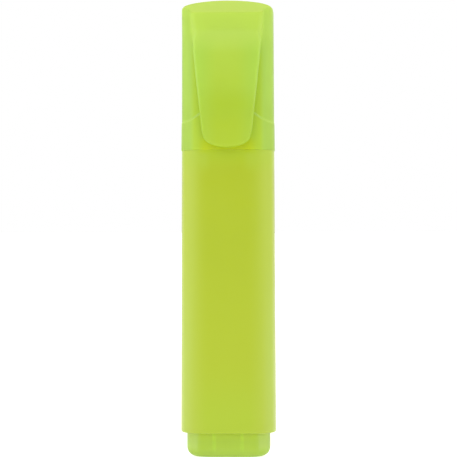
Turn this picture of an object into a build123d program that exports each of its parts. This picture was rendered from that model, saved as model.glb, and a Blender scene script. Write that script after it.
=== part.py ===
from build123d import *
import math
import os

os.makedirs("parts", exist_ok=True)

# Flat highlighter with a pull-off cap, standing on its end plug.
# Millimetres. +Z up, origin at the middle of the plug's foot, X across the
# width, the clip on the -Y side.

# ---------------------------------------------------------------- dimensions
# overall stack
total_h = 114.5          # foot of the plug to the crown of the cap
rim_z = 6.3              # lower rim of the barrel
seam_z = 77.0            # ledge of the barrel where the cap's mouth sits
seat_gap = 0.05          # daylight between ledge and cap mouth

# barrel, outside: width, depth and corner radius at the rim and at the ledge
rim_w, rim_d, rim_r = 23.90, 15.40, 4.75
ledge_w, ledge_d, ledge_r = 23.24, 15.00, 4.60
barrel_wall = 1.40
rim_fillet = 0.60

# neck that the cap slides over
neck_w, neck_d, neck_r = 20.43, 12.20, 3.20
neck_top = 86.5
neck_wall = 1.25
bead_h = 0.10            # snap bead round the neck
bead_z0, bead_z1 = 81.6, 83.2
shoulder_top = 91.0
collar_r = 5.60          # round front collar of the barrel
collar_top = 92.5
spigot_bore_r = 4.36

# cap, outside and inside
mouth_w, mouth_d, mouth_r = 23.33, 15.10, 4.65
crown_w, crown_d, crown_r = 23.05, 14.85, 4.55
skirt_proud = 0.10       # the arched lower skirt stands this far proud
skirt_peak_z, skirt_side_z, skirt_half = 90.4, 83.6, 11.68
cap_wall = 1.20
ceiling_z = 111.6
crown_edge_z = 112.85    # height of the crown at the cap's sides

# clip and the head it hangs from
root_z = 103.6           # the clip is free below this height
root_gap = 0.05
# height, half width, front face y, back face y, edge radius
clip_rows = [
    (root_z - root_gap, 8.42, -9.45, -7.75, 0.50),
    (100.2, 8.22, -9.98, -8.42, 0.55),
    (96.2, 7.80, -10.34, -8.66, 0.60),
    (92.2, 7.38, -10.50, -8.84, 0.60),
    (88.0, 6.95, -10.50, -8.92, 0.60),
    (84.0, 6.50, -10.30, -8.88, 0.55),
    (81.0, 6.20, -9.98, -8.74, 0.50),
    (77.0, 5.95, -9.35, -8.42, 0.40),
]
clip_tip = [(6.25, 81.0), (6.0, 80.1), (5.6, 79.4), (4.9, 78.75), (4.0, 78.2), (2.4, 77.72), (0.0, 77.5)]
tip_fillet = 0.30
# height, half width, front face y, edge radius
head_rows = [
    (root_z, 8.45, -9.45, 0.55),
    (106.8, 8.72, -8.72, 0.90),
    (111.3, 9.27, -8.60, 1.40),
    (115.0, 9.45, -8.60, 1.50),
]
head_back = -5.0

# inner cap (sealing liner)
liner_bore_r = 4.78
liner_r = 5.70
liner_z0, liner_ceiling, liner_top = 93.6, 108.9, 110.0
liner_spigot_r = 2.50
socket_r = 4.00
socket_bore_r = 2.55

# nib holder
holder_spigot_r = 4.32
holder_z0 = 87.2
holder_flange_r, holder_flange_t = 5.20, 0.80
land_r, land_top = 4.70, 96.5
nose_r0, nose_r1, nose_z = 4.25, 3.60, 99.6
nib_clear = 0.04

# nib
nib_w, nib_d, nib_r = 4.80, 3.20, 0.80
nib_z0 = 79.0
nib_tip_hi, nib_tip_lo = 104.3, 101.4

# reservoir and its film
core_w, core_d, core_r = 16.60, 8.60, 2.80
core_z0, core_z1 = 13.0, 84.0
film_t = 0.20
film_clear = 0.02

# end plug
plug_w, plug_d, plug_r = 20.90, 12.40, 3.70
plug_top = 12.0
plug_wall = 1.20
plug_floor = 1.60
plug_foot_fillet = 2.60
fin_x = 3.45             # centres of the two full-depth fins
fin_t = 0.90
fin_top = 12.95

# ------------------------------------------------------------------- helpers


def section(w, d, r, z):
    return Plane.XY.offset(z) * RectangleRounded(w, d, r)


def tapered(w0, d0, r0, z0, w1, d1, r1, z1):
    return loft([section(w0, d0, r0, z0), section(w1, d1, r1, z1)], ruled=True)


def lerp(a, b, t):
    return a + (b - a) * t


def barrel_at(z):
    t = (z - rim_z) / (seam_z - rim_z)
    return lerp(rim_w, ledge_w, t), lerp(rim_d, ledge_d, t), lerp(rim_r, ledge_r, t)


def cap_at(z):
    t = (z - seam_z) / (total_h - seam_z)
    return lerp(mouth_w, crown_w, t), lerp(mouth_d, crown_d, t), lerp(mouth_r, crown_r, t)


def save(shape, name):
    shape.label = name
    export_step(shape, f"parts/{name}.step")
    print(name, "volume", round(shape.volume, 1), "valid", shape.is_valid)


# -------------------------------------------------------------------- barrel
barrel = tapered(rim_w, rim_d, rim_r, rim_z, ledge_w, ledge_d, ledge_r, seam_z)
barrel = fillet(barrel.edges().group_by(Axis.Z)[0], rim_fillet)
barrel += extrude(section(neck_w, neck_d, neck_r, seam_z), neck_top - seam_z)
barrel += extrude(
    section(neck_w + 2 * bead_h, neck_d + 2 * bead_h, neck_r + bead_h, bead_z0),
    bead_z1 - bead_z0,
)
barrel += loft(
    [
        section(neck_w, neck_d, neck_r, neck_top),
        section(2 * collar_r + 0.6, 2 * collar_r + 0.2, collar_r - 0.1, shoulder_top),
    ],
    ruled=True,
)
barrel += Pos(0, 0, shoulder_top) * Cylinder(
    collar_r, collar_top - shoulder_top, align=(Align.CENTER, Align.CENTER, Align.MIN)
)

# hollow: long chamber, neck chamber, funnel and the bore for the nib holder
w0, d0, r0 = rim_w - 2 * barrel_wall, rim_d - 2 * barrel_wall, rim_r - barrel_wall
chamber_top = seam_z - 1.6
wt, dt, rt = barrel_at(chamber_top)
w1, d1, r1 = wt - 2 * barrel_wall, dt - 2 * barrel_wall, rt - barrel_wall
barrel -= tapered(w0, d0, r0, rim_z - 0.001, w1, d1, r1, chamber_top)
nw, nd, nr = neck_w - 2 * neck_wall, neck_d - 2 * neck_wall, neck_r - neck_wall
barrel -= extrude(section(nw, nd, nr, chamber_top - 0.5), neck_top - 1.0 - chamber_top + 0.5)
barrel -= loft(
    [
        section(nw, nd, nr, neck_top - 1.0),
        section(2 * spigot_bore_r + 0.4, 2 * spigot_bore_r + 0.2, spigot_bore_r, shoulder_top - 0.4),
    ],
    ruled=True,
)
barrel -= Pos(0, 0, neck_top) * Cylinder(
    spigot_bore_r, collar_top - neck_top + 1, align=(Align.CENTER, Align.CENTER, Align.MIN)
)

# ribs that hold the reservoir off the walls and leave air channels
film_w, film_d = core_w + 2 * (film_clear + film_t), core_d + 2 * (film_clear + film_t)
rib_z0, rib_z1 = 15.0, chamber_top + 0.2
for sx in (-1, 1):
    for sy in (-1, 1):
        y_in, y_out = film_d / 2 + 0.05, d1 / 2 + 0.3
        barrel += Pos(sx * 4.2, sy * (y_in + y_out) / 2, (rib_z0 + rib_z1) / 2) * Box(
            1.0, y_out - y_in, rib_z1 - rib_z0
        )
    x_in, x_out = film_w / 2 + 0.05, w1 / 2 + 0.3
    barrel += Pos(sx * (x_in + x_out) / 2, 0, (rib_z0 + rib_z1) / 2) * Box(
        x_out - x_in, 1.0, rib_z1 - rib_z0
    )
save(barrel, "barrel")

# ------------------------------------------------------------------ end plug
plug = extrude(section(plug_w, plug_d, plug_r, 0), plug_top)
plug = fillet(plug.edges().group_by(Axis.Z)[0], plug_foot_fillet)
plug -= extrude(
    section(plug_w - 2 * plug_wall, plug_d - 2 * plug_wall, plug_r - plug_wall, plug_floor),
    plug_top,
)
for sx in (-1, 1):
    plug += Pos(sx * fin_x, 0, (plug_floor - 0.3 + fin_top) / 2) * Box(
        fin_t, core_d, fin_top - plug_floor + 0.3
    )
    plug += Pos(sx * fin_x, 0, (plug_floor - 0.3 + plug_top) / 2) * Box(
        fin_t, plug_d - plug_wall, plug_top - plug_floor + 0.3
    )
save(plug, "end_plug")

# ------------------------------------------------------- reservoir and film
core = extrude(section(core_w, core_d, core_r, core_z0), core_z1 - core_z0)
core -= extrude(
    section(nib_w + 2 * nib_clear, nib_d + 2 * nib_clear, nib_r + nib_clear, nib_z0 - 0.05),
    core_z1 - nib_z0 + 1,
)
save(core, "reservoir")

cw, cd, cr = core_w + 2 * film_clear, core_d + 2 * film_clear, core_r + film_clear
film = extrude(section(cw + 2 * film_t, cd + 2 * film_t, cr + film_t, core_z0), core_z1 - core_z0)
film -= extrude(section(cw, cd, cr, core_z0 - 1), core_z1 - core_z0 + 2)
save(film, "reservoir_film")

# --------------------------------------------------------------- nib holder
hp = [
    (0, holder_z0), (holder_spigot_r, holder_z0), (holder_spigot_r, collar_top + 0.02),
    (holder_flange_r, collar_top + 0.02), (holder_flange_r, collar_top + holder_flange_t),
    (land_r, collar_top + holder_flange_t), (land_r, land_top - 0.4), (land_r - 0.3, land_top),
    (nose_r0, land_top), (nose_r1, nose_z - 0.3), (nose_r1 - 0.3, nose_z), (0, nose_z),
]
holder_face = make_face(Polyline(*[(x, 0, z) for x, z in hp], close=True))
holder = revolve(holder_face, Axis.Z)
holder -= extrude(
    section(nib_w + 2 * nib_clear, nib_d + 2 * nib_clear, nib_r + nib_clear, holder_z0 - 1),
    nose_z - holder_z0 + 2,
)
save(holder, "nib_holder")

# --------------------------------------------------------------------- nib
nib = extrude(section(nib_w, nib_d, nib_r, nib_z0), nib_tip_hi - nib_z0)
cut = make_face(
    Polyline(
        (-nib_w / 2 - 0.01, 0, nib_tip_hi), (nib_w / 2 + 0.01, 0, nib_tip_lo),
        (nib_w / 2 + 3, 0, nib_tip_lo), (nib_w / 2 + 3, 0, nib_tip_hi + 3),
        (-nib_w / 2 - 0.01, 0, nib_tip_hi + 3), close=True,
    )
)
nib -= extrude(cut, 10, both=True)
save(nib, "nib")

# ------------------------------------------------------------ inner cap
lp = [
    (liner_bore_r, liner_z0), (liner_r, liner_z0), (liner_r, liner_top),
    (liner_spigot_r, liner_top), (liner_spigot_r, ceiling_z - 0.02), (0, ceiling_z - 0.02),
    (0, liner_ceiling), (liner_bore_r, liner_ceiling),
]
liner = revolve(make_face(Polyline(*[(x, 0, z) for x, z in lp], close=True)), Axis.Z)
save(liner, "inner_cap")

# --------------------------------------------- cap shell: body, skirt, crown
mouth_z = seam_z + seat_gap
bw, bd, br = cap_at(mouth_z)
body = tapered(bw, bd, br, mouth_z, crown_w, crown_d, crown_r, total_h)

# lower skirt, proud of the body, under an arch that rises in the middle
skirt = tapered(
    bw + 2 * skirt_proud, bd + 2 * skirt_proud, br + skirt_proud, mouth_z,
    *[v + (2 * skirt_proud if i < 2 else skirt_proud) for i, v in enumerate(cap_at(92.0))], 92.0,
)
arch = []
for i in range(25):
    x = -skirt_half + 2 * skirt_half * i / 24
    arch.append(
        (x, 0, skirt_side_z + (skirt_peak_z - skirt_side_z) * (1 + math.cos(math.pi * x / skirt_half)) / 2)
    )
arch_edge = Spline(*arch)
under = make_face(
    [arch_edge, Polyline(arch[-1], (20, 0, skirt_side_z), (20, 0, 60), (-20, 0, 60), (-20, 0, skirt_side_z), arch[0])]
)
skirt &= extrude(under, 20, both=True)
body += skirt

# clip: a gently bowed, tapered leaf with rounded long edges and a rounded tip
clip = loft([
    Pos(0, (yf + yb) / 2, z) * RectangleRounded(2 * h, yb - yf, min(r, (yb - yf) / 2 - 0.05))
    for z, h, yf, yb, r in clip_rows
])
tip = Spline(*([(x, 0, z) for x, z in clip_tip] + [(-x, 0, z) for x, z in reversed(clip_tip[:-1])]))
tx, tz = clip_tip[0]
outline = make_face([
    tip,
    Polyline((-tx, 0, tz), (-12, 0, tz), (-12, 0, 110), (12, 0, 110), (12, 0, tz), (tx, 0, tz)),
])
clip &= extrude(outline, 20, both=True)
clip = fillet([e for e in clip.edges() if e.center().Z < 80 and e.length > 5], tip_fillet)
save(clip, "clip")

# head: the boss on the cap's front that the clip grows from
for (za, ha, ya, ra), (zb, hb, yb, rb) in zip(head_rows, head_rows[1:]):
    body += loft(
        [
            Pos(0, (ya + head_back) / 2, za) * RectangleRounded(2 * ha, head_back - ya, ra),
            Pos(0, (yb + head_back) / 2, zb) * RectangleRounded(2 * hb, head_back - yb, rb),
        ],
        ruled=True,
    )

# crown: shallow arch across the width, sloped edge along the front
half = crown_w / 2
sag = total_h - crown_edge_z
crown_R = (half * half + sag * sag) / (2 * sag)
drop = crown_R - math.sqrt(crown_R ** 2 - 20.0 ** 2)
dome = make_face(
    [
        ThreePointArc((-20, 0, total_h - drop), (0, 0, total_h), (20, 0, total_h - drop)),
        Polyline((20, 0, total_h - drop), (20, 0, 60), (-20, 0, 60), (-20, 0, total_h - drop)),
    ]
)
body &= extrude(dome, 30, both=True)
slope = make_face(
    Polyline(
        (0, -9.6, 109.9), (0, -5.2, 115.2), (0, -12, 115.2), (0, -12, 109.9), close=True,
    )
)
body -= extrude(slope, 30, both=True)

# bore, and a ring socket under the ceiling for the inner cap's spigot
iw, idp, ir = bw - 2 * cap_wall, bd - 2 * cap_wall, br - cap_wall
kw, kd, kr = cap_at(ceiling_z)
bore = tapered(
    iw, idp, ir, mouth_z - 0.001,
    kw - 2 * cap_wall, kd - 2 * cap_wall, kr - cap_wall, ceiling_z,
)
body -= bore
ring = Pos(0, 0, liner_top + 0.1) * Cylinder(
    socket_r, ceiling_z + 0.3 - liner_top - 0.1, align=(Align.CENTER, Align.CENTER, Align.MIN)
)
ring -= Pos(0, 0, liner_top) * Cylinder(
    socket_bore_r, ceiling_z - liner_top, align=(Align.CENTER, Align.CENTER, Align.MIN)
)
body += ring
save(body, "cap_shell")
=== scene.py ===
import math

import bmesh
import bpy
import numpy as np
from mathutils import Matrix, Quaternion, Vector


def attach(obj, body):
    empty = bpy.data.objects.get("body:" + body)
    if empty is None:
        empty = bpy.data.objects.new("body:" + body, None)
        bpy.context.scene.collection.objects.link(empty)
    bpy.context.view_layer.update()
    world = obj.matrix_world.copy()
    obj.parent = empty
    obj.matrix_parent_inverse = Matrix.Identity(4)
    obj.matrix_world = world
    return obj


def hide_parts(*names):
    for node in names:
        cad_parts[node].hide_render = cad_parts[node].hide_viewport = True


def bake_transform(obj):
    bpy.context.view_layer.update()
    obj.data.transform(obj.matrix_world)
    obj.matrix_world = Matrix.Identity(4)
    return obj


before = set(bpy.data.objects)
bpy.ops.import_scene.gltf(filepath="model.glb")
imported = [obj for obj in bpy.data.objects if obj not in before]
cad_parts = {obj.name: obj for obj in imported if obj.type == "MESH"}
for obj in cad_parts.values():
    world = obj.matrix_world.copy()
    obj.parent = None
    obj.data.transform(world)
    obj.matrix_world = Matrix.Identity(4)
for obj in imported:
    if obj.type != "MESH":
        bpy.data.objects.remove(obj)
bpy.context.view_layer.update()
MM = 0.001

# =====================================================================
# mesh helpers. All shapes are worked out in millimetres.
# =====================================================================


def smooth(t):
    t = np.clip(t, 0.0, 1.0)
    return t * t * (3 - 2 * t)


def curve(xs, ys):
    """A monotone cubic through the points, as a function."""
    xs, ys = np.array(xs, float), np.array(ys, float)
    if xs[0] > xs[-1]:
        xs, ys = xs[::-1], ys[::-1]
    h = np.diff(xs)
    d = np.diff(ys) / h
    m = np.zeros(len(xs))
    m[0], m[-1] = d[0], d[-1]
    for i in range(1, len(xs) - 1):
        if d[i - 1] * d[i] > 0:
            w1, w2 = 2 * h[i] + h[i - 1], h[i] + 2 * h[i - 1]
            m[i] = (w1 + w2) / (w1 / d[i - 1] + w2 / d[i])

    def f(x):
        x = np.clip(np.asarray(x, float), xs[0], xs[-1])
        k = np.clip(np.searchsorted(xs, x) - 1, 0, len(xs) - 2)
        t = (x - xs[k]) / h[k]
        return (
            ys[k] * (1 + 2 * t) * (1 - t) ** 2
            + m[k] * h[k] * t * (1 - t) ** 2
            + ys[k + 1] * t * t * (3 - 2 * t)
            + m[k + 1] * h[k] * t * t * (t - 1)
        )

    return f


def super_loop(a, b, n, count):
    """count points round |x/a|^n + |y/b|^n = 1, evenly spaced along it,
    from the middle of the front (-y), towards +x."""
    t = np.linspace(-math.pi / 2, 1.5 * math.pi, 2881)
    c, s = np.cos(t), np.sin(t)
    x = a * np.sign(c) * np.abs(c) ** (2 / n)
    y = b * np.sign(s) * np.abs(s) ** (2 / n)
    length = np.concatenate([[0], np.cumsum(np.hypot(np.diff(x), np.diff(y)))])
    want = np.linspace(0, length[-1], count, endpoint=False)
    return np.stack([np.interp(want, length, x), np.interp(want, length, y)], 1)


def super_y(x, a, b, n):
    return b * (1 - np.minimum(np.abs(x) / a, 1.0) ** n) ** (1 / n)


def super_arc(a, b, n, x0, count):
    """count points strictly between (x0, front) and (-x0, front), going round
    the right side, the back and the left side."""
    t = np.linspace(-math.pi / 2, 1.5 * math.pi, 5761)
    c, s = np.cos(t), np.sin(t)
    x = a * np.sign(c) * np.abs(c) ** (2 / n)
    y = b * np.sign(s) * np.abs(s) ** (2 / n)
    front = (y < 0) & (np.abs(x) < x0)
    x, y = x[~front], y[~front]
    yj = -super_y(x0, a, b, n)
    x = np.concatenate([[x0], x, [-x0]])
    y = np.concatenate([[yj], y, [yj]])
    length = np.concatenate([[0], np.cumsum(np.hypot(np.diff(x), np.diff(y)))])
    want = np.linspace(0, length[-1], count + 2)[1:-1]
    return np.stack([np.interp(want, length, x), np.interp(want, length, y)], 1)


class Mesh:
    def __init__(self):
        self.v, self.f, self.w = [], [], []

    def add(self, pts, weight=0.0):
        """Adds the points, (.., 3) in mm, and returns their indices in the same shape."""
        pts = np.asarray(pts, float)
        shape = pts.shape[:-1]
        flat = pts.reshape(-1, 3)
        start = len(self.v)
        self.v.extend(map(tuple, flat))
        weights = np.broadcast_to(np.asarray(weight, float), shape).reshape(-1)
        self.w.extend(float(x) for x in weights)
        return np.arange(start, start + len(flat)).reshape(shape)

    def grid(self, idx, wrap=False):
        """Quads between successive rows of indices."""
        idx = np.asarray(idx)
        rows, cols = idx.shape
        last = cols if wrap else cols - 1
        for r in range(rows - 1):
            for c in range(last):
                d = (c + 1) % cols
                q = [idx[r, c], idx[r, d], idx[r + 1, d], idx[r + 1, c]]
                q = [int(x) for x in q]
                if len(set(q)) == 4:
                    self.f.append(q)

    def fan(self, ring, centre):
        """Triangles from a closed ring to one point."""
        ring = [int(x) for x in ring]
        for i, a in enumerate(ring):
            self.f.append([a, ring[(i + 1) % len(ring)], int(centre)])

    def build(self, name, level=0):
        me = bpy.data.meshes.new(name)
        me.from_pydata([Vector(p) * MM for p in self.v], [], self.f)
        me.update()
        bm = bmesh.new()
        bm.from_mesh(me)
        bmesh.ops.recalc_face_normals(bm, faces=bm.faces)
        bm.to_mesh(me)
        bm.free()
        for p in me.polygons:
            p.use_smooth = True
        ob = bpy.data.objects.new(name, me)
        bpy.context.scene.collection.objects.link(ob)
        if level:
            m = ob.modifiers.new("smooth_surface", "SUBSURF")
            m.levels = m.render_levels = level
            m.subdivision_type = "CATMULL_CLARK"
        return ob


def rounded_path(points, step=2.5, turn=4):
    """points are (values..., radius): a polyline in any number of values whose
    corners are rounded. Returns the rows, with a support row by each corner."""
    p = [np.array(q[:-1], float) for q in points]
    r = [q[-1] for q in points]

    def dist(u, v):
        return math.hypot((u[0] - v[0] + u[1] - v[1]) / 2, u[-1] - v[-1])

    out = []

    def run(s, e):
        n = max(1, int(math.ceil(dist(s, e) / step)))
        for k in range(n + 1):
            out.append(s + (e - s) * k / n)

    prev = p[0]
    for i in range(1, len(p) - 1):
        d0, d1 = dist(p[i], p[i - 1]), dist(p[i], p[i + 1])
        t = min(r[i], 0.48 * d0, 0.48 * d1)
        s = p[i] + (p[i - 1] - p[i]) * t / d0
        e = p[i] + (p[i + 1] - p[i]) * t / d1
        # a support row keeps the long faces flat
        k = min(0.35, 0.25 * dist(prev, s))
        if dist(prev, s) > 1e-6:
            run(prev, s + (prev - s) * k / dist(prev, s))
        for j in range(turn + 1):
            u = j / turn
            out.append((1 - u) ** 2 * s + 2 * u * (1 - u) * p[i] + u * u * e)
        prev = e
    run(prev, p[-1])
    rows = [out[0]]
    for q in out[1:]:
        if np.abs(q - rows[-1]).max() > 1e-4:
            rows.append(q)
    return rows


def lathe(name, points, count, closed_start=False, closed_end=False, level=1, warp=None, step=2.5, turn=4, torus=False):
    """A skin whose sections are superellipses. points are (a, b, n, z, radius)."""
    m = Mesh()
    rows = rounded_path(points, step, turn)
    rings = []
    for a, b, n, z in rows:
        xy = super_loop(a, b, n, count)
        p = np.concatenate([xy, np.full((count, 1), z)], 1)
        if warp is not None:
            p = warp(p)
        rings.append(m.add(p))
    m.grid(rings + ([rings[0]] if torus else []), wrap=True)
    for end, ring in ((closed_start, rings[0]), (closed_end, rings[-1])):
        if end:
            base = np.array([m.v[i] for i in ring])
            mid = base.mean(0)
            inner = [ring]
            for s in (0.93, 0.8, 0.62, 0.42, 0.22, 0.08):
                q = mid + (base - mid) * s
                q[:, 2] = base[:, 2] if warp is None else q[:, 2]
                inner.append(m.add(q))
            m.grid(inner, wrap=True)
            m.fan(inner[-1], m.add(mid))
    return m.build(name, level)


# =====================================================================
# materials: moulded plastics, fibre
# =====================================================================


def nodes_of(name):
    mat = bpy.data.materials.new(name)
    mat.use_nodes = True
    nt = mat.node_tree
    bsdf = nt.nodes["Principled BSDF"]
    return mat, nt, bsdf


def link(nt, a, b):
    nt.links.new(a, b)


def noise(nt, coord, scale, detail=2.0, rough=0.5):
    n = nt.nodes.new("ShaderNodeTexNoise")
    n.inputs["Scale"].default_value = scale
    n.inputs["Detail"].default_value = detail
    n.inputs["Roughness"].default_value = rough
    link(nt, coord, n.inputs["Vector"])
    return n.outputs["Fac"]


def ramp(nt, fac, stops, interp="LINEAR"):
    r = nt.nodes.new("ShaderNodeValToRGB")
    r.color_ramp.interpolation = interp
    el = r.color_ramp.elements
    while len(el) < len(stops):
        el.new(0.5)
    for e, (pos, col) in zip(el, stops):
        e.position = pos
        e.color = (*col, 1.0)
    link(nt, fac, r.inputs["Fac"])
    return r.outputs["Color"]


def map_range(nt, value, a, b, c=0.0, d=1.0, kind="LINEAR"):
    m = nt.nodes.new("ShaderNodeMapRange")
    m.interpolation_type = kind
    m.inputs["From Min"].default_value = a
    m.inputs["From Max"].default_value = b
    m.inputs["To Min"].default_value = c
    m.inputs["To Max"].default_value = d
    link(nt, value, m.inputs["Value"])
    return m.outputs["Result"]


def mix_rgb(nt, fac, a, b, mode="MIX"):
    m = nt.nodes.new("ShaderNodeMix")
    m.data_type = "RGBA"
    m.blend_type = mode
    for socket, value in ((m.inputs[0], fac), (m.inputs[6], a), (m.inputs[7], b)):
        if isinstance(value, bpy.types.NodeSocket):
            link(nt, value, socket)
        elif isinstance(value, (int, float)):
            socket.default_value = value
        else:
            socket.default_value = (*value, 1.0)
    return m.outputs[2]


def bump(nt, height, strength, distance, normal=None):
    b = nt.nodes.new("ShaderNodeBump")
    b.inputs["Strength"].default_value = strength
    b.inputs["Distance"].default_value = distance
    link(nt, height, b.inputs["Height"])
    if normal is not None:
        link(nt, normal, b.inputs["Normal"])
    return b.outputs["Normal"]


def math_node(nt, op, a, b=0.0):
    m = nt.nodes.new("ShaderNodeMath")
    m.operation = op
    for socket, value in zip(m.inputs, (a, b)):
        if isinstance(value, bpy.types.NodeSocket):
            link(nt, value, socket)
        else:
            socket.default_value = value
    return m.outputs[0]


def split(nt, obj):
    """Distance from the middle plane, depth, height."""
    sep = nt.nodes.new("ShaderNodeSeparateXYZ")
    link(nt, obj, sep.inputs[0])
    return math_node(nt, "ABSOLUTE", sep.outputs["X"]), sep.outputs["Y"], sep.outputs["Z"]


def band(nt, value, a, b):
    """0 at a, 1 at b, softly."""
    return map_range(nt, value, a, b, 0.0, 1.0, "SMOOTHSTEP")


def both(nt, *masks):
    out = masks[0]
    for m in masks[1:]:
        out = math_node(nt, "MULTIPLY", out, m)
    return out


def cap_painted_light_and_shade(nt, obj, colour):
    """Painted light and shade on the cap: a touch less green at the crown, greener
    and darker down its sides, and deepest, as painted shade, where the inner cap and the neck stand close behind it;
    with painted light in the clip's slot, a painted shadow under the clip's tip and a painted highlight along the
    skirt's arch."""
    x, y, z = split(nt, obj)
    # crown: painted shade, a touch less green on top
    colour = mix_rgb(nt, band(nt, z, 0.1107, 0.1113), colour, (0.436, 0.562, 0.079))
    # the hollow sides: painted shade, darker and greener, more so towards their top and bottom
    sides = both(nt, band(nt, x, 0.0086, 0.0098), band(nt, z, 0.1126, 0.1112))
    colour = mix_rgb(nt, sides, colour, (0.390, 0.562, 0.070))
    ends = math_node(nt, "ADD", band(nt, z, 0.1060, 0.1090), band(nt, z, 0.0950, 0.0860))
    colour = mix_rgb(nt, both(nt, sides, ends), colour, (0.376, 0.542, 0.068))
    # the clip's leaf, towards its edges: painted shade
    leaf = both(nt, band(nt, x, 0.0015, 0.0066), band(nt, z, 0.1075, 0.1000))
    colour = mix_rgb(nt, leaf, colour, (0.389, 0.570, 0.075))
    # painted shade on the body beside the clip's lower part
    lower = both(nt, band(nt, x, 0.0088, 0.0060), band(nt, z, 0.0960, 0.0850))
    colour = mix_rgb(nt, lower, colour, (0.360, 0.520, 0.040))
    # the skirt's sides: painted shade, a little darker again
    colour = mix_rgb(nt, both(nt, sides, band(nt, z, 0.0905, 0.0870)), colour, (0.374, 0.546, 0.066))
    # painted shade: the clip darkens and loses its blue towards the mouth, standing in for the inner cap and the neck
    # seen through the wall
    down = ramp(nt, map_range(nt, z, 0.106, 0.078), [
        (0.0, (0.0,) * 3), (0.10, (0.10,) * 3), (0.21, (0.30,) * 3), (0.45, (0.45,) * 3),
        (0.68, (0.70,) * 3), (0.85, (1.0,) * 3)], "EASE")
    colour = mix_rgb(nt, both(nt, down, band(nt, x, 0.0082, 0.0016)), colour, (0.399, 0.529, 0.009))
    # the wall close behind the clip: painted light, paler and a deeper yellow, lifting the shade in the clip's slot
    behind = both(nt, band(nt, y, -0.0084, -0.0081), band(nt, y, -0.0040, -0.0062))
    wall = both(nt, behind, band(nt, z, 0.1045, 0.0990), band(nt, x, 0.0095, 0.0079))
    colour = mix_rgb(nt, wall, colour, (0.438, 0.590, 0.030))
    # painted shadow: deep yellow, with no blue, on the body just under the clip's tip
    ledge = both(nt, behind, band(nt, z, 0.0812, 0.0782), band(nt, x, 0.0078, 0.0052))
    colour = mix_rgb(nt, ledge, colour, (0.510, 0.605, 0.001))
    # painted highlight: a pale line along the skirt's arch
    bell = math_node(nt, "COSINE", math_node(nt, "MULTIPLY", x, math.pi / 0.01175))
    gap = math_node(nt, "SUBTRACT", z, math_node(nt, "ADD", math_node(nt, "MULTIPLY", bell, 0.00285), 0.08675))
    edge = both(nt, band(nt, math_node(nt, "ABSOLUTE", gap), 0.00060, 0.00008), band(nt, y, -0.0084, -0.0081))
    return mix_rgb(nt, edge, colour, (0.428, 0.600, 0.085))


def barrel_painted_light_and_shade(nt, obj, colour):
    """Painted light and shade: a little lighter below the middle and greener towards the foot, paler sides, darker
    narrow faces, and a painted shadow under the clip's tip.
    """
    x, y, z = split(nt, obj)
    # painted light: lighter below the middle and greener towards the foot, as the floor lights it
    colour = mix_rgb(nt, band(nt, z, 0.056, 0.028), colour, (0.280, 0.345, 0.0030))
    colour = mix_rgb(nt, band(nt, z, 0.026, 0.008), colour, (0.273, 0.364, 0.0070))
    # painted sheen: paler on the rounded sides, more so near the foot
    side = both(nt, band(nt, x, 0.0046, 0.0102), band(nt, z, 0.0765, 0.0735))
    colour = mix_rgb(nt, side, colour, (0.292, 0.362, 0.0210))
    foot = both(nt, band(nt, x, 0.0082, 0.0108), band(nt, z, 0.054, 0.024))
    colour = mix_rgb(nt, foot, colour, (0.295, 0.374, 0.0380))
    # the narrow faces: painted shade, darker towards the silhouette; the barrel tapers by 0.00523 m a metre
    span = math_node(nt, "ADD", x, math_node(nt, "MULTIPLY", math_node(nt, "SUBTRACT", z, 0.0063), 0.00523))
    colour = mix_rgb(nt, band(nt, span, 0.01140, 0.01192), colour, (0.240, 0.294, 0.0012))
    # painted shadow: deep yellow, with little blue, on the barrel just under the seam, below the clip's tip
    body = band(nt, z, 0.0773, 0.0771)
    colour = mix_rgb(nt, both(nt, body, band(nt, z, 0.0715, 0.0762)), colour, (0.276, 0.366, 0.0040))
    shoulder = both(nt, body, band(nt, z, 0.0700, 0.0755), band(nt, x, 0.0034, 0.0060))
    colour = mix_rgb(nt, shoulder, colour, (0.280, 0.368, 0.0180))
    clip_tip_shadow = both(nt, body, band(nt, z, 0.0757, 0.0768), band(nt, x, 0.0080, 0.0055))
    return mix_rgb(nt, clip_tip_shadow, colour, (0.292, 0.376, 0.0003))


def plug_painted_light_and_shade(nt, obj, colour):
    """Painted light and shade: paler where the wall is seen edge on, painted highlights along the fins and the rounded
    corners, lighter and deeper up inside the barrel's rim, where its shadow falls, and a darker edge at the silhouette."""
    x, y, z = split(nt, obj)

    def near(at, reach):
        gap = math_node(nt, "ABSOLUTE", math_node(nt, "SUBTRACT", x, at))
        return band(nt, gap, reach, 0.3 * reach)

    fin, bend = near(0.00348, 0.00066), near(0.0087, 0.0014)
    up = band(nt, z, 0.0040, 0.0060)
    # painted sheen and highlights: paler corners, pale lines along the fins and the bend
    colour = mix_rgb(nt, band(nt, x, 0.0064, 0.0092), colour, (0.408, 0.555, 0.090))
    colour = mix_rgb(nt, fin, colour, (0.413, 0.594, 0.036))
    colour = mix_rgb(nt, bend, colour, (0.436, 0.574, 0.104))
    # painted light: the foot greener and bluer, lit from the floor
    colour = mix_rgb(nt, band(nt, z, 0.0030, 0.0010), colour, (0.380, 0.542, 0.050))
    # painted light up by the barrel's rim, lifting its shadow
    colour = mix_rgb(nt, both(nt, up, band(nt, x, 0.0088, 0.0066)), colour, (0.470, 0.610, 0.024))
    colour = mix_rgb(nt, both(nt, up, band(nt, x, 0.0066, 0.0086)), colour, (0.494, 0.634, 0.094))
    # painted shade: a darker edge at the silhouette
    colour = mix_rgb(nt, band(nt, x, 0.0098, 0.0104), colour, (0.372, 0.520, 0.070))
    # painted highlight along the fins, up by the rim
    return mix_rgb(nt, both(nt, up, fin), colour, (0.482, 0.658, 0.027))


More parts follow.
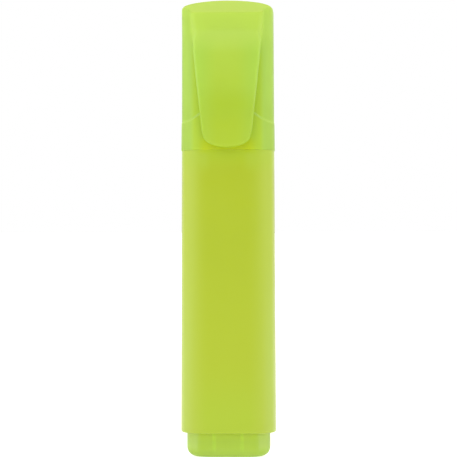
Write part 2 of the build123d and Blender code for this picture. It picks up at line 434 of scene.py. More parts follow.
def plastic(name, low, high, roughness, grain, grain_depth, sss=0.0, radius=(1, 1, 1),
            sss_scale=0.001, transmission=0.0, ior=1.49, rough_spread=0.05, coat=0.0,
            through=0.0, through_tint=(1, 1, 1), painted_glow=0.0, tints=None, gloss=0.5):
    """A moulded plastic: colour drifts softly between low and high, the skin has
    a fine spark-eroded grain, and the gloss varies a little where it's handled."""
    mat, nt, bsdf = nodes_of(name)
    tc = nt.nodes.new("ShaderNodeTexCoord")
    obj = tc.outputs["Object"]
    flow = noise(nt, obj, 55.0, 3.0, 0.55)
    colour = mix_rgb(nt, map_range(nt, flow, 0.3, 0.7), low, high)
    # the tints paint light and shade into the colour
    if tints is not None:
        colour = tints(nt, obj, colour)
    link(nt, colour, bsdf.inputs["Base Color"])
    scuff = noise(nt, obj, 240.0, 4.0, 0.6)
    link(nt, map_range(nt, scuff, 0.3, 0.7, roughness - rough_spread, roughness + rough_spread), bsdf.inputs["Roughness"])
    fine = noise(nt, obj, grain, 2.0, 0.6)
    soft = noise(nt, obj, 320.0, 1.0, 0.5)
    nrm = bump(nt, soft, 0.25, 0.00003)
    nrm = bump(nt, fine, 1.0, grain_depth, nrm)
    link(nt, nrm, bsdf.inputs["Normal"])
    bsdf.inputs["IOR"].default_value = ior
    bsdf.inputs["Specular IOR Level"].default_value = gloss
    bsdf.inputs["Subsurface Weight"].default_value = sss
    bsdf.inputs["Subsurface Radius"].default_value = radius
    bsdf.inputs["Subsurface Scale"].default_value = sss_scale
    bsdf.inputs["Transmission Weight"].default_value = transmission
    if painted_glow:
        # painted glow: a constant emission standing in for the fluorescent dye, which gives back a little of the light
        # it takes in; it lifts the shaded parts too
        bsdf.inputs["Emission Color"].default_value = (0.62, 0.86, 0.0, 1.0)
        bsdf.inputs["Emission Strength"].default_value = painted_glow
    if coat:
        bsdf.inputs["Coat Weight"].default_value = coat
        bsdf.inputs["Coat Roughness"].default_value = 0.25
    if through:
        # the share of light that scatters straight through the thin wall
        tl = nt.nodes.new("ShaderNodeBsdfTranslucent")
        link(nt, mix_rgb(nt, 1.0, colour, through_tint, "MULTIPLY"), tl.inputs["Color"])
        ms = nt.nodes.new("ShaderNodeMixShader")
        ms.inputs[0].default_value = through
        link(nt, bsdf.outputs[0], ms.inputs[1])
        link(nt, tl.outputs[0], ms.inputs[2])
        link(nt, ms.outputs[0], nt.nodes["Material Output"].inputs["Surface"])
    return mat


def fibre(name, low, high, stretch, scale):
    """Pressed polyester fibre: fine strands along Z, with soft darker gaps."""
    mat, nt, bsdf = nodes_of(name)
    tc = nt.nodes.new("ShaderNodeTexCoord")
    mp = nt.nodes.new("ShaderNodeMapping")
    mp.inputs["Scale"].default_value = stretch
    link(nt, tc.outputs["Object"], mp.inputs["Vector"])
    strands = noise(nt, mp.outputs["Vector"], scale, 4.0, 0.65)
    colour = ramp(nt, strands, [(0.28, low), (0.55, high), (0.8, tuple(min(1, c * 1.06) for c in high))])
    link(nt, colour, bsdf.inputs["Base Color"])
    bsdf.inputs["Roughness"].default_value = 0.75
    bsdf.inputs["Sheen Weight"].default_value = 0.25
    bsdf.inputs["Subsurface Weight"].default_value = 0.2
    bsdf.inputs["Subsurface Radius"].default_value = (0.5, 0.6, 0.1)
    bsdf.inputs["Subsurface Scale"].default_value = 0.001
    n1 = bump(nt, strands, 0.6, 0.00012)
    grain = noise(nt, tc.outputs["Object"], 9000.0, 2.0, 0.5)
    link(nt, bump(nt, grain, 0.4, 0.00005, n1), bsdf.inputs["Normal"])
    return mat


barrel_mat = plastic("barrel_satin", (0.267, 0.330, 0.0028), (0.274, 0.338, 0.0034), 0.34, 7000.0, 0.000006,
                     sss=0.12, radius=(0.8, 0.9, 0.1), sss_scale=0.001, rough_spread=0.04, painted_glow=0.07,
                     tints=barrel_painted_light_and_shade, gloss=0.48)
cap_mat = plastic("cap_translucent", (0.440, 0.598, 0.080), (0.452, 0.610, 0.088), 0.35, 5200.0, 0.000004,
                  rough_spread=0.04, through=0.42, through_tint=(1.5, 1.32, 2.0), painted_glow=0.09,
                  tints=cap_painted_light_and_shade, gloss=0.65)
plug_mat = plastic("plug_translucent", (0.395, 0.545, 0.030), (0.407, 0.557, 0.038), 0.35, 5200.0, 0.000004,
                   rough_spread=0.04, through=0.42, through_tint=(1.5, 1.32, 2.0), painted_glow=0.09,
                   tints=plug_painted_light_and_shade, gloss=0.80)
liner_mat = plastic("liner_milky", (0.66, 0.74, 0.42), (0.70, 0.78, 0.46), 0.35, 5200.0, 0.000004,
                    sss=0.8, radius=(1.0, 1.1, 0.5), sss_scale=0.0015, rough_spread=0.04)
holder_mat = plastic("holder_satin", (0.425, 0.535, 0.010), (0.445, 0.555, 0.014), 0.36, 6000.0, 0.000005,
                     sss=0.12, radius=(0.8, 0.9, 0.1), sss_scale=0.001)
film_mat = plastic("film_clear", (0.80, 0.86, 0.45), (0.84, 0.90, 0.50), 0.18, 3000.0, 0.000003,
                   sss=0.0, transmission=0.6)
nib_mat = fibre("nib_felt", (0.60, 0.72, 0.004), (0.86, 0.95, 0.012), (1.0, 1.0, 0.12), 5200.0)
core_mat = fibre("core_fibre", (0.62, 0.74, 0.02), (0.80, 0.90, 0.05), (1.0, 1.0, 0.06), 3800.0)


def paint(obj, mat):
    obj.data.materials.clear()
    obj.data.materials.append(mat)
    return obj


# =====================================================================
# barrel: tapered tube, ledge, neck with its snap bead, shoulder, collar
# =====================================================================
RIM_Z, SEAM_Z = 6.3, 77.0
SECTION_N = 4.0


def barrel_half(z):
    t = (z - RIM_Z) / (SEAM_Z - RIM_Z)
    return 12.01 + (11.64 - 12.01) * t, 7.70 + (7.50 - 7.70) * t


def off(z, d, n=SECTION_N):
    a, b = barrel_half(z)
    return a + d, b + d, n, z


pts = [
    (*off(6.9, -1.40), 0.0),
    (*off(6.42, -1.40), 0.20),
    (*off(RIM_Z, -0.95), 0.20),
    (*off(RIM_Z, 0.0), 0.55),
    (*off(30.0, 0.0), 0.0),
    (*off(53.0, 0.0), 0.0),
    (*off(SEAM_Z, 0.0), 0.015),
    (*off(SEAM_Z, -1.40), 0.14),
    (*off(81.4, -1.42), 0.25),
    (*off(81.9, -1.31), 0.30),
    (*off(82.7, -1.31), 0.30),
    (*off(83.3, -1.42), 0.25),
    (10.15, 6.02, 4.0, 86.3, 0.9),
    (5.95, 5.70, 2.3, 90.9, 0.5),
    (5.60, 5.60, 2.0, 91.3, 0.25),
    (5.60, 5.60, 2.0, 92.5, 0.22),
    (4.36, 4.36, 2.0, 92.5, 0.10),
    (4.36, 4.36, 2.0, 90.0, 0.5),
    (8.60, 4.60, 3.2, 85.4, 0.8),
    (8.90, 4.85, 4.0, 76.0, 0.5),
    (10.20, 6.08, 4.0, 75.4, 0.5),
    (10.50, 6.25, 4.0, 20.0, 0.0),
]
barrel = lathe("barrel_body", pts, 128, torus=True, level=1, step=3.0)
paint(barrel, barrel_mat)
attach(barrel, "barrel_body")
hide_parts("barrel")

# =====================================================================
# end plug: hollow cup with a rounded foot and two fine ribs on each face
# =====================================================================
RIB_X, RIB_W, RIB_H = 3.45, 0.42, 0.11


def plug_ribs(p):
    x, y, z = p[:, 0], p[:, 1], p[:, 2]
    outer = np.abs(y) > 5.0
    side = np.abs(np.abs(x) - RIB_X)
    lift = RIB_H * np.exp(-((side / RIB_W) ** 2) * 1.6)
    keep = smooth((z - 0.9) / 0.8)
    p = p.copy()
    p[:, 1] += np.where(outer, np.sign(y) * lift * keep, 0)
    return p


pa, pb = 10.52, 6.22
foot = []
for k in range(9):
    phi = math.pi / 2 * k / 8
    foot.append((pa - 3.3 * (1 - math.sin(phi)) ** 1.15, pb - 2.7 * (1 - math.sin(phi)) ** 1.15,
                 4.0, 2.65 * (1 - math.cos(phi)) ** 1.05, 0.0))
plug_pts = foot + [
    (pa, pb, 4.0, 7.0, 0.0),
    (pa, pb, 4.0, 12.0, 0.25),
    (pa - 1.2, pb - 1.2, 4.0, 12.0, 0.25),
    (pa - 1.2, pb - 1.2, 4.0, 1.7, 0.6),
    (pa - 2.6, pb - 2.6, 4.0, 1.6, 0.0),
]


plug = lathe("end_plug_cup", plug_pts, 208, closed_start=True, closed_end=True, level=1, warp=plug_ribs, step=1.6)
paint(plug, plug_mat)
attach(plug, "barrel_body")
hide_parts("end_plug")

# =====================================================================
# cap with its clip, one moulding
# =====================================================================
MOUTH_Z, ROOT_Z, TOP_Z = 77.02, 103.6, 114.35
WALL = 1.22
N_CAP = 4.0
CEIL_Z = 111.5


def cap_half(z):
    return 11.52 + (113.0 - z) * 0.0033, 7.42 + (113.0 - z) * 0.0030


def arch_z(x):
    """The skirt's upper edge: a bell, high in the middle of the wide faces."""
    return 83.9 + 5.7 * (1 + np.cos(np.pi * np.clip(x / 11.75, -1, 1))) / 2


def skirt(x, y, z):
    """How far the skirt stands proud at a point of the cap's side."""
    d = arch_z(x) - z
    face = smooth((np.abs(y) / 7.4 - 0.55) / 0.4)
    step = 0.085 + 0.135 * face
    flare = (0.05 - 0.19 * face) * np.clip(d / 7.0, 0, 1)
    return (step + flare) * smooth((d + 0.17) / 0.34)


inset = np.array([0, .09, .22, .40, .64, .98, 1.45, 2.1, 2.95, 4.0, 5.2, 6.6, 8.0])
U = np.concatenate([-(1 - inset / 8.0), (1 - inset / 8.0)[:-1][::-1]])   # -1 .. 1
NU = len(U)
NR = 104
ROOF, STRIP = 3, 3

half_w = curve([111.3, 108.3, 106.6, 104.3, ROOT_Z, 100.2, 96.2, 92.2, 89.1, 86.1, 83.1, 81.0],
               [9.15, 8.88, 8.76, 8.52, 8.45, 8.22, 7.80, 7.38, 7.05, 6.70, 6.42, 6.25])
face_y = curve([112.0, 110.5, 108.5, 107.0, 105.6, ROOT_Z, 101.4, 98.5, 95.5, 92.0, 88.0, 84.0, 81.0, 79.0, 77.3],
               [-8.56, -8.55, -8.55, -8.60, -8.92, -9.45, -9.88, -10.20, -10.40, -10.50, -10.48, -10.28, -10.0, -9.75, -9.50])
back_y = curve([ROOT_Z, 101.5, 98.5, 95.0, 90.0, 86.0, 82.0, 79.5, 77.3],
               [-8.02, -8.28, -8.52, -8.72, -8.88, -8.90, -8.82, -8.70, -8.55])

cap = Mesh()


def body_front(x, z, a, b):
    return -super_y(x, a, b, N_CAP)


def body_row(level_of):
    """One row of the cap's outside below the clip's root: front part F, rest R.
    level_of(x, y) gives the height of each point."""
    z0 = 90.0
    a, b = cap_half(z0)
    x0 = 8.45
    fx = U * x0
    f = np.stack([fx, body_front(fx, z0, a, b)], 1)
    r = super_arc(a, b, N_CAP, x0, NR)
    xy = np.concatenate([f, r])
    z = level_of(xy[:, 0], xy[:, 1])
    # real section at that height, then the skirt
    az, bz = cap_half(z)
    x = xy[:, 0] * az / a
    y = xy[:, 1] * bz / b
    x[:NU] = fx
    y[:NU] = [-super_y(v, p, q, N_CAP) for v, p, q in zip(fx, az[:NU], bz[:NU])]
    s = skirt(x, y, z)
    nx = np.sign(x) * (np.abs(x) / az) ** 3 / az
    ny = np.sign(y) * (np.abs(y) / bz) ** 3 / bz
    ln = np.hypot(nx, ny)
    x = x + s * nx / ln
    y = y + s * ny / ln
    return np.stack([x, y, z], 1)


rows = []
# mouth rim is rounded by its own rows, further down
edge_r = 0.03
for h, d in ((0.0, 0.012), (0.008, 0.004), (edge_r, 0.0)):
    def lv(x, y, h=h):
        return np.full(len(x), MOUTH_Z + h)
    p = body_row(lv)
    ln = np.hypot(p[:, 0], p[:, 1])
    # shrink towards the middle for the rounding
    a, b = cap_half(80.0)
    nx = np.sign(p[:, 0]) * (np.abs(p[:, 0]) / 12.0) ** 3
    ny = np.sign(p[:, 1]) * (np.abs(p[:, 1]) / 8.0) ** 3 * 1.5
    l2 = np.hypot(nx, ny) + 1e-9
    p[:, 0] -= d * nx / l2
    p[:, 1] -= d * ny / l2
    rows.append(p)
lo_line = MOUTH_Z + edge_r
for t in (0.12, 0.28, 0.45, 0.62, 0.78, 0.90, 0.97):
    rows.append(body_row(lambda x, y, t=t: lo_line + (arch_z(x) - 0.42 - lo_line) * t))
for d in (-0.42, -0.24, -0.14, -0.05, 0.05, 0.14, 0.24, 0.42):
    rows.append(body_row(lambda x, y, d=d: arch_z(x) + d))
hi_line = 101.6
for t in (0.05, 0.13, 0.23, 0.34, 0.46, 0.58, 0.70, 0.82, 0.92, 1.0):
    rows.append(body_row(lambda x, y, t=t: arch_z(x) + 0.42 + (hi_line - arch_z(x) - 0.42) * t))
for z in (102.4, 103.0, 103.35, ROOT_Z):
    rows.append(body_row(lambda x, y, z=z: np.full(len(x), z)))
body_idx = [cap.add(p) for p in rows]
cap.grid(body_idx, wrap=True)
top_body = body_idx[-1]
F_top, R_top = top_body[:NU], top_body[NU:]

# ---- clip: plan grid -------------------------------------------------
ell_a, ell_b, ell_z = 6.25, 3.55, 81.0
corner = math.radians(50)


def side_path(count_fine=400):
    z = np.linspace(ROOT_Z, ell_z, count_fine)
    x = half_w(z)
    ph = np.linspace(0, corner, 120)[1:]
    ex, ez = ell_a * np.cos(ph), ell_z - ell_b * np.sin(ph)
    xx, zz = np.concatenate([x, ex]), np.concatenate([z, ez])
    ln = np.concatenate([[0], np.cumsum(np.hypot(np.diff(xx), np.diff(zz)))])
    return xx, zz, ln


sx, sz, sl = side_path()
total = sl[-1]
near_tip = inset[:8]
v_rows = [0, 0.35, 0.8, 1.4, 2.2]
x_ = 3.4
while x_ < total - 3.2:
    v_rows.append(x_)
    x_ += 1.35
v_rows += list(total - near_tip[::-1])
V = np.array(v_rows) / total
NV = len(V)
L = np.stack([np.interp(V * total, sl, sx), np.interp(V * total, sl, sz)], 1)
ph = np.linspace(corner, math.pi - corner, 241)
bx, bz = -ell_a * np.cos(math.pi - ph), ell_z - ell_b * np.sin(ph)
bx = -ell_a * np.cos(ph) * -1
order = np.argsort(bx)
bx, bz = bx[order], bz[order]
bl = np.concatenate([[0], np.cumsum(np.hypot(np.diff(bx), np.diff(bz)))])
sU = (U + 1) / 2
B = np.stack([np.interp(sU * bl[-1], bl, bx), np.interp(sU * bl[-1], bl, bz)], 1)
T = np.stack([U * 8.45, np.full(NU, ROOT_Z)], 1)
S2, V2 = np.meshgrid(sU, V)
left = L.copy()
left[:, 0] *= -1
P = np.zeros((NV, NU, 2))
for k in range(2):
    P[..., k] = (
        (1 - V2) * T[None, :, k] + V2 * B[None, :, k]
        + (1 - S2) * left[:, None, k] + S2 * L[:, None, k]
        - ((1 - S2) * (1 - V2) * left[0, k] + S2 * (1 - V2) * L[0, k]
           + (1 - S2) * V2 * left[-1, k] + S2 * V2 * L[-1, k])
    )
# distance of each plan point from the clip's outline
ph_all = np.linspace(0, math.pi / 2, 200)
ox = np.concatenate([sx[:400], ell_a * np.cos(ph_all)])
oz = np.concatenate([sz[:400], ell_z - ell_b * np.sin(ph_all)])
flat = P.reshape(-1, 2)
dist = np.min(np.hypot(np.abs(flat[:, 0])[:, None] - ox[None], flat[:, 1][:, None] - oz[None]), 1).reshape(NV, NU)
dist[:, 0] = dist[:, -1] = 0
dist[-1, :] = 0
CX, CZ = P[..., 0], P[..., 1]


def rounding(d, r):
    d = np.clip(d, 0, r)
    return r - np.sqrt(np.maximum(r * r - (r - d) ** 2, 0))


def crown(x, z, k=0.30):
    return k * (np.abs(x) / half_w(np.clip(z, 81, 111))) ** 2.4


rim = curve([ROOT_Z, 98.0, 90.0, 80.0, 77.0], [0.62, 0.55, 0.50, 0.45, 0.42])
front_y = face_y(CZ) + crown(CX, CZ) + rounding(dist, rim(CZ))
rear_y = back_y(CZ) + 0.35 * crown(CX, CZ) - rounding(dist, np.full_like(CZ, 0.28))
hinge_w = smooth((103.4 - CZ) / 5.5)
hinge_w[0] = 0
C_idx = cap.add(np.stack([CX, front_y, CZ], -1), hinge_w)
K_idx = cap.add(np.stack([CX, rear_y, CZ], -1), hinge_w)
cap.grid(C_idx)
cap.grid(K_idx)

# strip round the clip's edge, from the front boundary to the rear one
loop_rc = [(r, 0) for r in range(NV)] + [(NV - 1, c) for c in range(1, NU - 1)] + [(r, NU - 1) for r in range(NV - 1, -1, -1)]
strip = np.zeros((STRIP, len(loop_rc)), int)
for q in range(STRIP):
    t = (q + 1) / (STRIP + 1)
    pts3, ws = [], []
    for r, c in loop_rc:
        y = front_y[r, c] * (1 - t) + rear_y[r, c] * t
        pts3.append((CX[r, c], y, CZ[r, c]))
        ws.append(hinge_w[r, c])
    strip[q] = cap.add(pts3, ws)
front_loop = [C_idx[r, c] for r, c in loop_rc]
rear_loop = [K_idx[r, c] for r, c in loop_rc]
cap.grid([front_loop, *strip, rear_loop])

# ---- roof of the slot between the cap and the clip ---------------------
roof = [F_top]
for q in range(ROOF):
    t = (q + 1) / (ROOF + 1)
    f = np.array([cap.v[i] for i in F_top])
    k = np.array([cap.v[i] for i in K_idx[0]])
    p = f * (1 - t) + k * t
    p[:, 2] += 0.30 * math.sin(math.pi * t)
    roof.append(cap.add(p))
roof.append(K_idx[0])
cap.grid(roof)

# ---- head: rings from the clip's root up to the crown ------------------
SIDE = ROOF + 1 + STRIP + 1     # points from F_0 up to, not counting, c_0
face_half = curve([111.4, 110.5, 108.5, 106.5, 105.0, ROOT_Z], [7.95, 7.90, 7.60, 7.20, 7.10, 7.3])
FACE_COL = 7                    # columns 0..7 lie on the sloping side of the head
BEVEL_Z = 111.05                # the sloped rim's lower edge, across the front


def crown_z(x):
    u = np.abs(np.asarray(x)) / 11.53
    return TOP_Z - 1.34 * u ** 2 - 0.84 * u ** 8


def square(z):
    return float(smooth((z - 104.2) / 6.3))


def corner_y(x, z):
    """Depth of the cap's front face beside the head."""
    a, b = cap_half(z)
    g = square(z)
    return -float(super_y(x, a, b, N_CAP) * (1 - g) + super_y(x, a - 0.08, 8.4, 6.0) * g)


def corner_arc(z, x0):
    """The cap's section beside and behind the head. Its front corners grow
    squarer towards the crown, where the head's slope runs out over them."""
    a, b = cap_half(z)
    p = super_arc(a, b, N_CAP, x0, NR)
    q = super_arc(a - 0.08, 8.4, 6.0, x0, NR)
    w = (square(z) * smooth((1.2 - p[:, 1]) / 4.0))[:, None]
    return p * (1 - w) + q * w


def head_ring(z):
    """Left half of the head's section at height z, from the cap's side to the
    middle of the front: as the clip has it low down, with well rounded edges
    above."""
    a, b = cap_half(z)
    s = float(smooth((z - ROOT_Z) / 2.6))
    # clip-like section
    h = float(half_w(z))
    fy = float(face_y(z))
    xa = U[: NU // 2 + 1] * h
    da = h - np.abs(xa)
    rz = float(rim(ROOT_Z))
    ya = fy + crown(xa, z) + rounding(da, rz)
    jx, jy = -h, -float(super_y(h, a, b, N_CAP))
    y_rear = float(rear_y[0, 0])
    side = [(jx, jy)]
    for q in range(ROOF):
        t = (q + 1) / (ROOF + 1)
        side.append((jx, jy * (1 - t) + y_rear * t))
    side.append((jx, y_rear))
    for q in range(STRIP - 1, -1, -1):
        t = (q + 1) / (STRIP + 1)
        side.append((jx, ya[0] * (1 - t) + y_rear * t))
    clip_like = np.concatenate([np.array(side), np.stack([xa, ya], 1)])
    # section with rounded edges
    fh = float(face_half(z))
    n_slope = SIDE + FACE_COL
    hx = h + 0.10 * float(smooth((z - 106.0) / 3.0))
    p0, p2 = np.array([-hx, corner_y(hx, z)]), np.array([-fh, fy + 0.10])
    p1 = np.array([-hx, fy + 0.32])
    t = np.linspace(0, 1, n_slope + 1)[:, None]
    side = (1 - t) ** 2 * p0 + 2 * t * (1 - t) * p1 + t * t * p2
    rest = U[FACE_COL: NU // 2 + 1]
    rx = rest / abs(rest[0]) * fh
    ry = fy + 0.10 * (np.abs(rx) / fh) ** 2.4
    slope = np.concatenate([side[:-1], np.stack([rx, ry], 1)])
    out = clip_like * (1 - s) + slope * s
    return out, s


head_rows = [104.0, 104.5, 105.1, 105.7, 106.3, 107.0, 107.9, 108.7, 109.4, 109.9, 110.3, 110.65]


def ring_points(z):
    half, s = head_ring(z)
    right_half = half[:-1][::-1].copy()
    right_half[:, 0] *= -1
    front = np.concatenate([half, right_half])
    xy = np.concatenate([front, corner_arc(z, abs(half[0, 0]))])
    return xy, len(front)


rings = []
# ring 0 is made of points that exist already
left_side = [F_top[0]] + [r[0] for r in roof[1:-1]] + [K_idx[0, 0]] + [strip[q][0] for q in range(STRIP - 1, -1, -1)]
right_side = [F_top[-1]] + [r[-1] for r in roof[1:-1]] + [K_idx[0, -1]] + [strip[q][-1] for q in range(STRIP - 1, -1, -1)]
ring0 = np.array(left_side + list(C_idx[0]) + right_side[::-1] + list(R_top))
rings.append(ring0)
n_front = len(left_side) * 2 + NU
for z in head_rows:
    xy, nf = ring_points(z)
    assert nf == n_front, (nf, n_front)
    zz = np.full(len(xy), z)
    if z < 105.2:
        # carry the slot roof's swell a little way up the sides
        fade = float(1 - smooth((z - ROOT_Z) / 1.4))
        for q in range(ROOF):
            lift = 0.30 * math.sin(math.pi * (q + 1) / (ROOF + 1)) * fade * 0.6
            zz[1 + q] += lift
            zz[n_front - 2 - q] += lift
    rings.append(cap.add(np.concatenate([xy, zz[:, None]], 1)))

# crown: base ring at the lower edge of the sloped rim, then up and over


SLOPE = 1.17
xy, nf = ring_points(BEVEL_Z)
x, y = xy[:, 0], xy[:, 1]
back_t = smooth((y - 1.0) / 5.0)
corner_t = smooth((np.abs(x) - 10.6) / 0.7)
# a plane sloping back from the face, out over the squared corners
low = np.where(y < 0, BEVEL_Z + SLOPE * np.maximum(y - float(face_y(BEVEL_Z)) - 0.12, 0), 200.0)
low = np.minimum(low, crown_z(x) - (0.28 + 1.15 * back_t))
bev = np.where(y < 0, (crown_z(x) - low) / SLOPE, 0.28 / SLOPE + 1.15 * back_t)
skx = np.clip(x, -5.2, 5.2)
dx, dy = skx - x, -0.55 - y
dl = np.hypot(dx, dy)
round_w = np.where(y < -3.0, corner_t, 1.0)
dx, dy = dx / dl * round_w, dy / dl * round_w + (1 - round_w)
dl = np.hypot(dx, dy)
crest = np.stack([x + dx / dl * bev, y + dy / dl * bev], 1)
crest_z = crown_z(crest[:, 0])


def crown_row(t):
    """t is 0 at the base of the slope and 1 at its crest."""
    # straight chamfer, and a quarter round
    c_in, c_up = t, t
    r_in, r_up = 1 - math.cos(t * math.pi / 2), math.sin(t * math.pi / 2)
    fi = c_in * (1 - round_w) + r_in * round_w
    fu = c_up * (1 - round_w) + r_up * round_w
    p = np.stack([x + (crest[:, 0] - x) * fi, y + (crest[:, 1] - y) * fi, low + (crest_z - low) * fu], 1)
    return p


rings.append(cap.add(np.stack([x, y, low - 0.14], 1)))
for t in (0.0, 0.05, 0.16, 0.33, 0.5, 0.67, 0.84, 0.95, 1.0):
    rings.append(cap.add(crown_row(t)))
mid = np.array([0.0, -0.55])
for s in (0.955, 0.87, 0.74, 0.58, 0.41, 0.24, 0.10):
    q = mid + (crest - mid) * s
    rings.append(cap.add(np.concatenate([q, crown_z(q[:, 0])[:, None]], 1)))
cap.grid(rings, wrap=True)
cap.fan(rings[-1], cap.add((0.0, -0.55, TOP_Z)))

# ---- inside of the cap ---------------------------------------------------
inner = []


def inner_row(z, extra=0.0):
    a, b = cap_half(max(z, MOUTH_Z))
    d = WALL + extra
    x0 = 8.45 * (a - d) / a
    fx = U * x0
    f = np.stack([fx, -super_y(fx, a - d, b - d, N_CAP)], 1)
    r = super_arc(a - d, b - d, N_CAP, x0, NR)
    xy = np.concatenate([f, r])
    return np.concatenate([xy, np.full((len(xy), 1), z)], 1)


rim_mid = inner_row(MOUTH_Z, -0.60)
inner.append(body_idx[0])
inner.append(cap.add(rim_mid))
inner.append(cap.add(inner_row(MOUTH_Z, -0.16)))
inner.append(cap.add(inner_row(MOUTH_Z + 0.05, -0.06)))
inner.append(cap.add(inner_row(MOUTH_Z + 0.22, 0.0)))
for z in (78.0, 80.0, 84.0, 88.0, 92.0, 96.0, 100.0, 104.0, 107.5, 109.6):
    inner.append(cap.add(inner_row(z)))
for ang in (0.0, 0.33, 0.66, 1.0):
    e = 1.0 * (1 - math.cos(ang * math.pi / 2))
    inner.append(cap.add(inner_row(CEIL_Z - 1.0 + 1.0 * math.sin(ang * math.pi / 2), e)))
base = np.array([cap.v[i] for i in inner[-1]])
for s in (0.93, 0.8, 0.62, 0.42, 0.22, 0.08):
    q = base.copy()
    q[:, :2] *= s
    inner.append(cap.add(q))
cap.grid(inner, wrap=True)
cap.fan(inner[-1], cap.add((0.0, 0.0, CEIL_Z)))

cap_ob = cap.build("cap_with_clip", level=1)
paint(cap_ob, cap_mat)
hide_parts("cap_shell", "clip")
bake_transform(cap_ob)

# =====================================================================
# nib: chisel of pressed fibre
# =====================================================================
TIP_SLOPE = (104.3 - 101.4) / 4.8


def chisel(p):
    p = p.copy()
    w = smooth((p[:, 2] - 99.6) / 3.0)
    p[:, 2] += -p[:, 0] * TIP_SLOPE * w
    return p


nib_pts = [
    (0.9, 0.5, 2.6, 79.2, 0.0), (2.0, 1.2, 3.0, 81.4, 0.6), (2.4, 1.6, 3.6, 82.6, 0.4),
    (2.4, 1.6, 3.6, 99.4, 0.0), (2.38, 1.58, 3.6, 102.72, 0.34), (0.9, 0.55, 3.0, 102.84, 0.0),
]
nib = lathe("nib_chisel", nib_pts, 72, closed_start=True, closed_end=True, level=1, warp=chisel, step=0.8)
paint(nib, nib_mat)
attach(nib, "barrel_body")
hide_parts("nib")

# =====================================================================
# nib holder and inner cap: turned forms with softened edges
# =====================================================================
holder_pts = [
    (2.6, 1.8, 3.4, 87.2, 0.0), (4.32, 4.32, 2.0, 87.2, 0.25), (4.32, 4.32, 2.0, 92.52, 0.0),
    (5.20, 5.20, 2.0, 92.52, 0.12), (5.20, 5.20, 2.0, 93.30, 0.20), (4.70, 4.70, 2.0, 93.30, 0.14),
    (4.70, 4.70, 2.0, 94.45, 0.10), (4.62, 4.62, 2.0, 94.60, 0.10), (4.62, 4.62, 2.0, 95.00, 0.10),
    (4.70, 4.70, 2.0, 95.15, 0.10), (4.70, 4.70, 2.0, 96.15, 0.20), (4.30, 4.30, 2.0, 96.50, 0.20),
    (3.55, 3.55, 2.0, 99.60, 0.28), (2.62, 1.80, 3.4, 99.60, 0.12), (2.46, 1.66, 3.6, 99.0, 0.2),
    (2.46, 1.66, 3.6, 88.0, 0.0),
]
holder = lathe("nib_holder_nose", holder_pts, 96, torus=True, level=1, step=1.5)
paint(holder, holder_mat)
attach(holder, "barrel_body")
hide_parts("nib_holder")

liner_pts = [
    (4.78, 4.78, 2.0, 108.9, 0.0), (4.78, 4.78, 2.0, 93.9, 0.15), (4.98, 4.98, 2.0, 93.6, 0.12),
    (5.70, 5.70, 2.0, 93.6, 0.25), (5.70, 5.70, 2.0, 101.8, 0.2), (5.70, 5.70, 2.0, 110.0, 0.5),
    (2.50, 2.50, 2.0, 110.0, 0.25), (2.50, 2.50, 2.0, 111.4, 0.0),
]
liner = lathe("inner_cap_liner", liner_pts, 80, closed_start=True, closed_end=True, level=1, step=1.8)
paint(liner, liner_mat)
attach(liner, "cap_body")
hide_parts("inner_cap")

# the core and its film keep their CAD shapes
paint(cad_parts["reservoir"], core_mat)
paint(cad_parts["reservoir_film"], film_mat)

# =====================================================================
# stage, light, camera
# =====================================================================
scene = bpy.context.scene
scene.view_settings.view_transform = "Standard"
scene.view_settings.look = "None"
scene.view_settings.exposure = 0.0
scene.view_settings.gamma = 1.0

bpy.ops.mesh.primitive_plane_add(size=40.0, location=(0, 0, -0.00002))
floor = bpy.context.active_object
floor.name = "floor"
fmat, fnt, fb = nodes_of("floor_white")
fb.inputs["Base Color"].default_value = (0.55, 0.55, 0.55, 1)
fb.inputs["Roughness"].default_value = 0.9
fb.inputs["Specular IOR Level"].default_value = 0.1
fb.inputs["Emission Color"].default_value = (1, 1, 1, 1)
fb.inputs["Emission Strength"].default_value = 0.80
floor.data.materials.append(fmat)

world = bpy.data.worlds.new("studio")
scene.world = world
world.use_nodes = True
wn = world.node_tree
bg = wn.nodes["Background"]
tc = wn.nodes.new("ShaderNodeTexCoord")
sep = wn.nodes.new("ShaderNodeSeparateXYZ")
wn.links.new(tc.outputs["Generated"], sep.inputs[0])


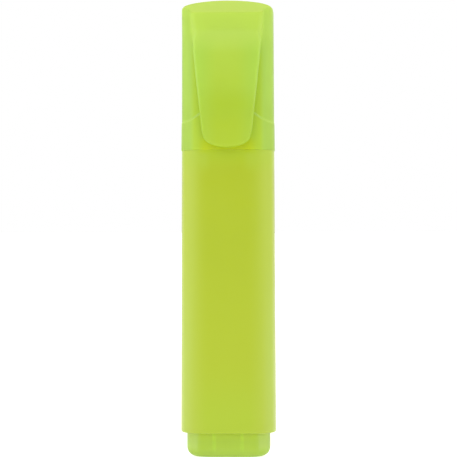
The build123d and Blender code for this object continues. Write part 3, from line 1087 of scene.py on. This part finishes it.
def soft_step(axis, start, end, low=0.0, high=1.0):
    m = wn.nodes.new("ShaderNodeMapRange")
    m.interpolation_type = "SMOOTHSTEP"
    m.inputs["From Min"].default_value = start
    m.inputs["From Max"].default_value = end
    m.inputs["To Min"].default_value = low
    m.inputs["To Max"].default_value = high
    wn.links.new(sep.outputs[axis], m.inputs["Value"])
    return m.outputs["Result"]


def calc(op, a, b):
    m = wn.nodes.new("ShaderNodeMath")
    m.operation = op
    for socket, value in zip(m.inputs, (a, b)):
        if isinstance(value, bpy.types.NodeSocket):
            wn.links.new(value, socket)
        else:
            socket.default_value = value
    return m.outputs[0]


# a white light tent: bright side panels and roof, darker where the camera stands
SIDE_BASE, LEFT, RIGHT, ROOF_LIGHT, DARK = 1.06, 0.95, 0.55, 0.65, 0.93
near_side = soft_step("Y", 0.25, -0.15)
left_panel = calc("MULTIPLY", calc("MULTIPLY", soft_step("X", -0.28, -0.62), near_side), LEFT)
right_panel = calc("MULTIPLY", calc("MULTIPLY", soft_step("X", 0.32, 0.78), near_side), RIGHT)
roof_panel = soft_step("Z", 0.25, 0.75, 0.0, ROOF_LIGHT)
tent = calc("ADD", calc("ADD", left_panel, right_panel), calc("ADD", roof_panel, SIDE_BASE))
front_dark = soft_step("Y", -0.74, -0.985, 0.0, DARK)
light = calc("SUBTRACT", tent, front_dark)
seen = wn.nodes.new("ShaderNodeLightPath").outputs["Is Camera Ray"]
rest = calc("MULTIPLY", light, calc("SUBTRACT", 1.0, seen))
wn.links.new(calc("ADD", rest, seen), bg.inputs["Strength"])
bg.inputs["Color"].default_value = (1, 1, 1, 1)

cam_data = bpy.data.cameras.new("camera")
cam = bpy.data.objects.new("camera", cam_data)
scene.collection.objects.link(cam)
scene.camera = cam
cam_data.sensor_width = 36.0
cam_data.lens = 124.4
cam_data.clip_start, cam_data.clip_end = 0.02, 20.0
yaw = math.radians(2.2)
distance, height = 0.400, 0.0574
cam.location = (distance * math.sin(yaw), -distance * math.cos(yaw), height)
forward = Vector((-math.sin(yaw), math.cos(yaw), 0.0))
cam.rotation_mode = "QUATERNION"
lean = math.radians(-0.14)
turn = forward.to_track_quat("-Z", "Y")
cam.rotation_quaternion = turn @ Quaternion((0, 0, 1), lean)
cam_data.dof.use_dof = False
